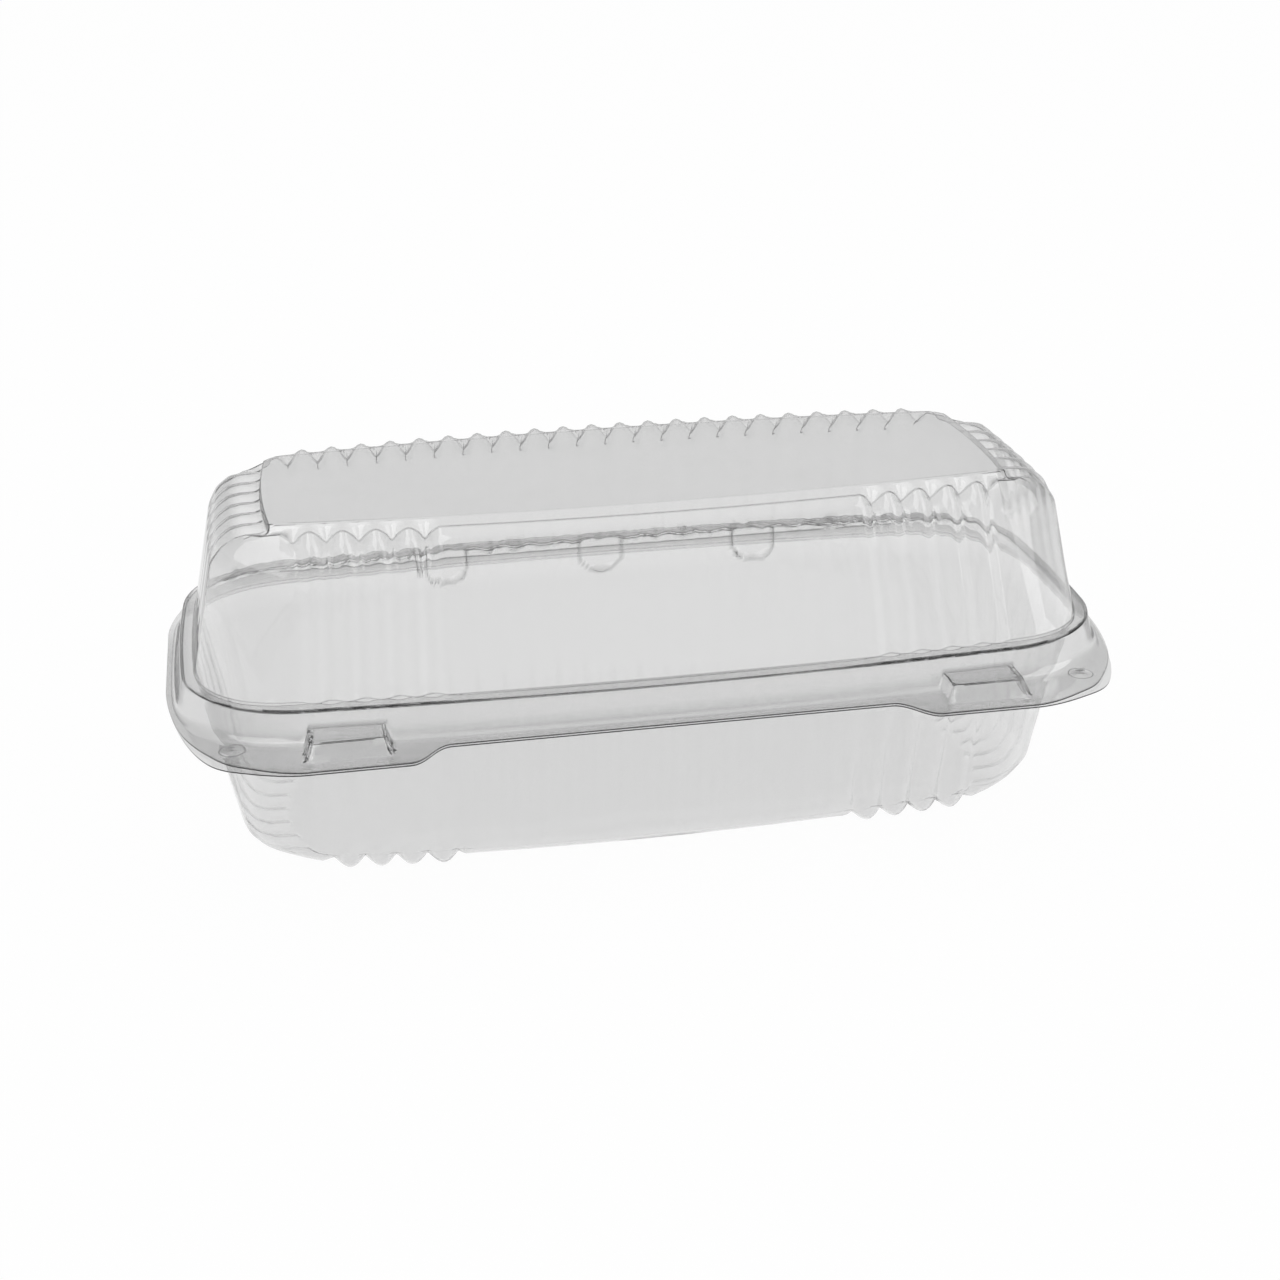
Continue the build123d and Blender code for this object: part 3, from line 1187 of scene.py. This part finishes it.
    def _weigh(self, piece: bpy.types.Object, sheet: Channels) -> None:
        """Thins the sheet on the crests, where forming draws it furthest.

        Args:
            piece: The piece, which gets a vertex group with shares of the thickness.
            sheet: All rings.
        """
        level, deep = 0.4, 1.5
        group = piece.vertex_groups.new(name="sheet_share")
        rise = self.columns.rise(sheet[..., SOFT])
        drawn = level + (rise - level) * np.clip(sheet[..., DEPTH] / deep, 0, 1)
        shares = np.round(1 - self.thinned * drawn.reshape(-1), 2)
        for share in np.unique(shares):
            group.add(np.flatnonzero(shares == share).tolist(), float(share), "REPLACE")

    def _form(self, piece: bpy.types.Object) -> None:
        """Runs the flute tree, gives the sheet its thickness and keeps the plain mesh.

        Args:
            piece: The piece, which gets its final mesh.
        """
        flute = piece.modifiers.new("Flute rows", "NODES")
        flute.node_group = self.rows.tree
        flute[self.rows.softness] = self.flutes.softness
        flute[self.rows.finish] = self.finish
        wall = piece.modifiers.new("Sheet", "SOLIDIFY")
        wall.thickness = self.sheet * MM
        wall.offset = -1
        wall.material_offset_rim = 1
        wall.vertex_group = "sheet_share"
        seen = piece.evaluated_get(bpy.context.evaluated_depsgraph_get())
        plain = bpy.data.meshes.new_from_object(seen)
        piece.modifiers.clear()
        piece.vertex_groups.clear()
        piece.data = plain
        for name in ("flute_phase", "flute_depth", "flute_softness", "flute_out"):
            plain.attributes.remove(plain.attributes[name])
        plain.set_sharp_from_angle(angle=math.radians(self.sharp_angle))


@dataclass
class Lid(Half):
    """The lid: flange, skirt, ledge, fluted walls and a raised panel."""

    name: str = "lid_sheet"
    flange_height: float = 43.6
    ledge_height: float = 51.1
    # Painted shade: the lid's dark lines at the cut edge, along bends and in the end grooves are stronger.
    edge_grey: float = 0.7
    bend_grey: float = 0.75
    groove_grey: float = 0.9

    def levels(self) -> list[tuple[Level, float, int]]:
        """Lists the levels from the ledge to the panel.

        Returns:
            Each level with its bend and its steps.
        """
        # Painted shade: the grey and end grey of each level colour the sheet darker or lighter in place of
        # its shading, most along the brow and on the panel.
        foot = Level(
            half_length=110.5, half_width=49.0, height=self.ledge_height, end_height=self.ledge_height,
            depth=1.5, end_depth=0.01, tilt=0, end_tilt=0, bow=2.6, tip_bow=0.6,
            pitch=7.83, window=55.2, recess=0, bulge=0.2,
        )
        wall = replace(
            foot, half_length=104.5, half_width=40.1, height=79.0, end_height=79.0, depth=1.4, end_depth=0.1,
            tilt=6, end_tilt=6, bow=5.1, pitch=7.6, window=53.9, bulge=0.09, softness=0.8, end_softness=1.2,
            end_grey=0.22,
        )
        bend = replace(
            wall, half_length=102.4, half_width=38.6, height=82.8, end_height=83.2, depth=2.4, end_depth=1.1,
            tilt=20, end_tilt=25, softness=0.35, end_softness=0.3,
        )
        shoulder = replace(
            bend, half_length=99.0, half_width=37.2, height=85.2, end_height=85.8, depth=3.2, end_depth=1.5,
            tilt=42, end_tilt=60, softness=0.12, end_softness=0.1, grey=0.15, back_lift=0.5,
        )
        brow = replace(
            shoulder, half_length=96.0, half_width=34.9, height=87.3, end_height=86.25, depth=3.8,
            end_depth=1.2, tilt=65, end_tilt=85, tip_bow=0.9, end_softness=0.06, square=0.25, grey=0.5,
            end_grey=0.03, back_lift=0.7,
        )
        below_brow = replace(brow.mixed(shoulder, share=0.15), grey=0.15, end_grey=0.05)
        above_brow = replace(
            brow, half_length=95.0, half_width=34.2, height=87.4, depth=3.3, tilt=68, grey=0.04,
        )
        shelf = replace(
            above_brow, half_length=92.8, half_width=32.2, height=87.7, depth=0.8, end_depth=1.1, tilt=76,
            end_tilt=88, bow=4.7, tip_bow=1.1, square=0.6, snap=2.0, back_lift=0.4,
        )
        band = replace(
            brow, half_length=91.2, half_width=30.6, height=87.95, end_height=85.9, depth=0.0, end_depth=0.0,
            tilt=85, end_tilt=88, bow=4.2, tip_bow=1.2, square=0.85, snap=3.0, grey=0.03, back_lift=0.1,
        )
        step = replace(
            band, half_length=90.9, half_width=30.0, height=88.04, end_height=87.98, depth=0.0, end_depth=0.0,
            square=0.92, grey=0.06, end_grey=0.1, back_lift=0.0,
        )
        panel = replace(
            step, half_length=90.3, half_width=29.4, height=88.1, end_height=88.1, grey=0.17, end_grey=0.17,
        )
        return [
            (foot, 0.3, 7), (wall, 1.4, 2), (bend, 1.2, 1), (shoulder, 0.7, 1), (below_brow, 0, 0),
            (brow, 0.2, 0), (above_brow, 0, 0), (shelf, 0, 0), (band, 0.3, 0), (step, 0.25, 0),
            (panel, 0.5, 3),
        ]


@dataclass
class Tray(Half):
    """The tray: flange, hollow bead, fluted walls, scoops and floor."""

    name: str = "tray_sheet"
    flange: Flange = Flange(corner_extra=1.4)
    flange_height: float = 43.0
    ledge_height: float = 50.5
    inset: float = 0.6
    scoops: Scoops = Scoops()

    def levels(self) -> list[tuple[Level, float, int]]:
        """Lists the levels from the bead to the floor.

        Returns:
            Each level with its bend and its steps.
        """
        # Painted shade: the grey of each level colours the sheet in place of its shading, darker on the walls
        # than at the rim.
        rim = Level(
            half_length=110.5, half_width=48.5, height=self.ledge_height, end_height=self.ledge_height,
            depth=1.3, end_depth=0.12, tilt=0, end_tilt=0, bow=2.6, tip_bow=0.6,
            pitch=7.83, window=51.4, recess=0, bulge=0.23, grey=0.02,
        )
        wall = replace(
            rim, half_length=102.7, half_width=40.7, height=7.0, end_height=7.0, depth=1.5, end_depth=0.4,
            tilt=-8, end_tilt=-8, bow=5.1, tip_bow=2.0, pitch=7.6, window=50.2, bulge=0.09,
            softness=0.8, end_softness=1.2, grey=0.155,
        )
        below_scoops = replace(rim.mixed(wall, share=0.24), grey=wall.grey)
        foot = replace(
            wall, half_length=100.2, half_width=39.8, height=2.6, end_height=2.4, depth=2.5, end_depth=0.7,
            tilt=-28, end_tilt=-35, tip_bow=3.4, recess=2.4, softness=0.2, end_softness=0.5, back_depth=0.4,
        )
        sole = replace(
            foot, half_length=96.6, half_width=38.0, height=0.5, end_height=0.5, depth=3.0, end_depth=0.7,
            tilt=-50, end_tilt=-75, tip_bow=5.0, recess=4.2, softness=0.14,
        )
        edge = replace(
            sole, half_length=91.5, half_width=32.4, height=0.32, end_height=0.32, depth=0.7, end_depth=0.7,
            tilt=-85, end_tilt=-88, recess=1.0,
        )
        floor = replace(
            edge, half_length=90.0, half_width=31.0, height=0.3, end_height=0.3, depth=0, end_depth=0,
            recess=0,
        )
        return [
            (rim, 0.5, 10), (below_scoops, 0, 4), (wall, 1.6, 2), (foot, 1.4, 1), (sole, 1.2, 3),
            (edge, 0.5, 1), (floor, 0.5, 3),
        ]

    def press(self, sheet: Channels) -> None:
        """Presses the flange, and the scoops into the back wall.

        Args:
            sheet: All rings, changed in place.
        """
        super().press(sheet)
        back = (sheet[..., Y] > 0) & (sheet[..., DEPTH] > 0)
        x, z, push, edge = self.scoops.press(sheet[..., X], sheet[..., Z], self.ledge_height)
        inside = back & (push > 0)
        sheet[..., X] = np.where(back, x, sheet[..., X])
        sheet[..., Z] = np.where(back, z, sheet[..., Z])
        sheet[..., Y] += np.where(inside, sheet[..., DEPTH] / 2 + push, 0.0)
        sheet[..., DEPTH] = np.where(inside, 0.0, sheet[..., DEPTH])
        # Painted shade: the outlines of the scoops get a dark line.
        sheet[..., PAINTED_SHADE] = np.where(back & edge, self.scoops.edge_grey, sheet[..., PAINTED_SHADE])


@dataclass
class FoldStrip:
    """The thin strip of the same sheet that folds along the back."""

    finish: bpy.types.Material
    half_run: float = 88.0
    edge_y: float = 61.3
    axis_z: float = 43.15
    radius: float = 0.3
    thickness: float = 0.08
    arc_steps: int = 10
    along_steps: int = 40

    def make(self) -> bpy.types.Object:
        """Builds the strip as a closed thin arc between the two cut edges.

        Returns:
            The strip as a plain mesh.
        """
        angles = np.linspace(-math.pi / 2, math.pi / 2, self.arc_steps + 1)
        profile = []
        for reach, sweep in ((self.radius, angles), (self.radius - self.thickness, angles[::-1])):
            for turn in sweep:
                profile.append((self.edge_y + reach * math.cos(turn), self.axis_z + reach * math.sin(turn)))
        runs = np.linspace(-self.half_run, self.half_run, self.along_steps + 1)
        points = [(x * MM, y * MM, z * MM) for x in runs for y, z in profile]
        around = len(profile)
        faces = []
        for step in range(self.along_steps):
            for turn in range(around):
                following = (turn + 1) % around
                low, high = step * around, (step + 1) * around
                faces.append((low + turn, high + turn, high + following, low + following))
        faces.append(tuple(range(around)))
        faces.append(tuple(range(len(points) - 1, len(points) - 1 - around, -1)))
        mesh = bpy.data.meshes.new("fold_strip")
        mesh.from_pydata(points, [], faces)
        mesh.materials.append(self.finish)
        mesh.shade_smooth()
        return placed("fold_strip", mesh)

    def fold(self, piece: bpy.types.Object) -> None:
        """Bakes the strip's placement into its mesh.

        Args:
            piece: The strip.
        """
        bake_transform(piece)


@dataclass(frozen=True)
class Viewpoint:
    """The camera at the photograph's viewing angle."""

    azimuth: float = -10.212
    elevation: float = 23.2
    distance: float = 551.64
    target: tuple = (2.276, 0.0, 39.927)
    roll: float = -0.8269
    lens: float = 59.94
    sensor: float = 36.0
    nearest: float = 0.01

    def make(self) -> None:
        """Places the camera and makes it the scene's own."""
        data = bpy.data.cameras.new("camera")
        data.lens = self.lens
        data.sensor_width = self.sensor
        data.clip_start = self.nearest
        camera = placed("camera", data)
        turn, lift = math.radians(self.azimuth), math.radians(self.elevation)
        back = Vector((math.sin(turn) * math.cos(lift), -math.cos(turn) * math.cos(lift), math.sin(lift)))
        right = Vector((0, 0, 1)).cross(back).normalized()
        up = back.cross(right)
        roll = math.radians(self.roll)
        tilted = right * math.cos(roll) + up * math.sin(roll)
        upright = up * math.cos(roll) - right * math.sin(roll)
        place = (Vector(self.target) + back * self.distance) * MM
        matrix = Matrix((tilted, upright, back)).transposed().to_4x4()
        matrix.translation = place
        camera.matrix_world = matrix
        bpy.context.scene.camera = camera


@dataclass(frozen=True)
class Lamp:
    """One soft box of the studio."""

    name: str
    place: tuple
    size: tuple
    watts: float

    def make(self, aim: Vector) -> None:
        """Hangs the soft box and turns it to the container.

        Args:
            aim: The point that it faces.
        """
        data = bpy.data.lights.new(self.name, "AREA")
        data.shape = "RECTANGLE"
        data.size, data.size_y = self.size
        data.energy = self.watts
        lamp = placed(self.name, data)
        lamp.location = Vector(self.place)
        lamp.rotation_euler = (lamp.location - aim).to_track_quat("Z", "Y").to_euler()


@dataclass(frozen=True)
class Studio:
    """Pale floor, white surroundings and soft boxes."""

    floor_half: float = 3.0
    floor_drop: float = 0.0004
    floor_grey: float = 0.92
    floor_glow: float = 0.97
    sky_stops: tuple = ((0.0, 1.0), (0.53, 1.0), (0.59, 0.75), (0.7, 0.5), (0.85, 0.35), (1.0, 0.5))
    aim: tuple = (0, 0, 0.04)
    lamps: tuple = (
        Lamp("key_box", place=(-1.3, -1.0, 1.9), size=(2.2, 1.8), watts=14.0),
        Lamp("fill_box", place=(1.7, -0.6, 1.3), size=(1.4, 1.8), watts=8.0),
    )
    bounces: int = 32
    glossy_bounces: int = 16
    transparent_bounces: int = 64

    def make(self) -> None:
        """Builds the floor, the surroundings and the lamps."""
        self._floor()
        self._surroundings()
        for lamp in self.lamps:
            lamp.make(Vector(self.aim))
        scene = bpy.context.scene
        scene.view_settings.view_transform = "Standard"
        scene.cycles.max_bounces = self.bounces
        scene.cycles.transmission_bounces = self.bounces
        scene.cycles.glossy_bounces = self.glossy_bounces
        scene.cycles.transparent_max_bounces = self.transparent_bounces

    def _floor(self) -> None:
        """Lays the pale floor just below the container."""
        half, low = self.floor_half, -self.floor_drop
        mesh = bpy.data.meshes.new("floor")
        corners = [(-half, -half, low), (half, -half, low), (half, half, low), (-half, half, low)]
        mesh.from_pydata(corners, [], [(0, 1, 2, 3)])
        mesh.materials.append(self._floor_finish())
        floor = placed("floor", mesh)

    def _floor_finish(self) -> bpy.types.Material:
        """Makes the floor white where it is seen directly, in a mirror image or through the sheet.

        Returns:
            The floor's material.
        """
        material = bpy.data.materials.new("pale_floor")
        material.use_nodes = True
        wires = Wires(material.node_tree)
        ray = wires.add("ShaderNodeLightPath")
        seen = ray.outputs["Is Camera Ray"]
        for name in ("Is Transmission Ray", "Is Glossy Ray"):
            seen = wires.maths("MAXIMUM", seen, ray.outputs[name])
        matt = wires.add("ShaderNodeBsdfDiffuse", {"Color": plain_grey(self.floor_grey)})
        white = wires.add("ShaderNodeEmission", {"Strength": 1.0})
        both = wires.add(
            "ShaderNodeMixShader",
            {
                "Fac": wires.maths("MULTIPLY", seen, self.floor_glow),
                1: matt.outputs["BSDF"],
                2: white.outputs["Emission"],
            },
        )
        wires.add("ShaderNodeOutputMaterial", {"Surface": both.outputs["Shader"]})
        return material

    def _surroundings(self) -> None:
        """Makes the world: white round the floor, soft grey higher up, so that clear edges show."""
        world = bpy.data.worlds.new("studio")
        bpy.context.scene.world = world
        world.use_nodes = True
        wires = Wires(world.node_tree)
        place = wires.add("ShaderNodeTexCoord")
        split = wires.add("ShaderNodeSeparateXYZ", {"Vector": place.outputs["Generated"]})
        height = wires.add("ShaderNodeMapRange", {"Value": split.outputs["Z"], "From Min": -1.0})
        ramp = wires.add("ShaderNodeValToRGB", {"Fac": height.outputs["Result"]})
        stops = ramp.color_ramp.elements
        for spot, bright in self.sky_stops:
            stop = stops.new(spot)
            stop.color = plain_grey(bright)
        stops.remove(stops[0])
        stops.remove(stops[-1])
        light = wires.add("ShaderNodeBackground", {"Color": ramp.outputs["Color"]})
        wires.add("ShaderNodeOutputWorld", {"Surface": light.outputs["Background"]})


def main() -> None:
    """Builds the pieces in order and reports each one."""
    logging.basicConfig(level=logging.INFO, format="%(message)s")
    bpy.ops.wm.read_factory_settings(use_empty=True)
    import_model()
    clear = ClearSheet().make()
    # Painted shade: the tray's sheet gets a weaker edge-on shade and no ring round its dimples.
    clear_tray = ClearSheet(name="tray_clear_sheet", edge_on_tint=0.65, dimple_grey=0.0).make()
    # Painted shade: the cut-edge finishes are dark tints in place of the dark line along a cut edge of clear
    # sheet.
    lid_cut = ClearSheet(name="lid_cut_edge", tint=0.02, roughest=0.2).make()
    tray_cut = ClearSheet(name="tray_cut_edge", tint=0.3, roughest=0.2).make()
    shared = {"flutes": Flutes(), "rim": Rim(), "presses": Presses(), "rows": FluteRows()}
    lid = Lid(finish=clear, edge_finish=lid_cut, **shared)
    tray = Tray(finish=clear_tray, edge_finish=tray_cut, **shared)
    for half, body in ((lid, Body.LID), (tray, Body.TRAY)):
        piece = half.make()
        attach(piece, body.value)
        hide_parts(body.value)
        log.info("%s: %d faces", piece.name, len(piece.data.polygons))
    strip = FoldStrip(clear)
    fold = strip.make()
    strip.fold(fold)
    log.info("%s: %d faces", fold.name, len(fold.data.polygons))
    Studio().make()
    Viewpoint().make()


if __name__ == "__main__":
    main()
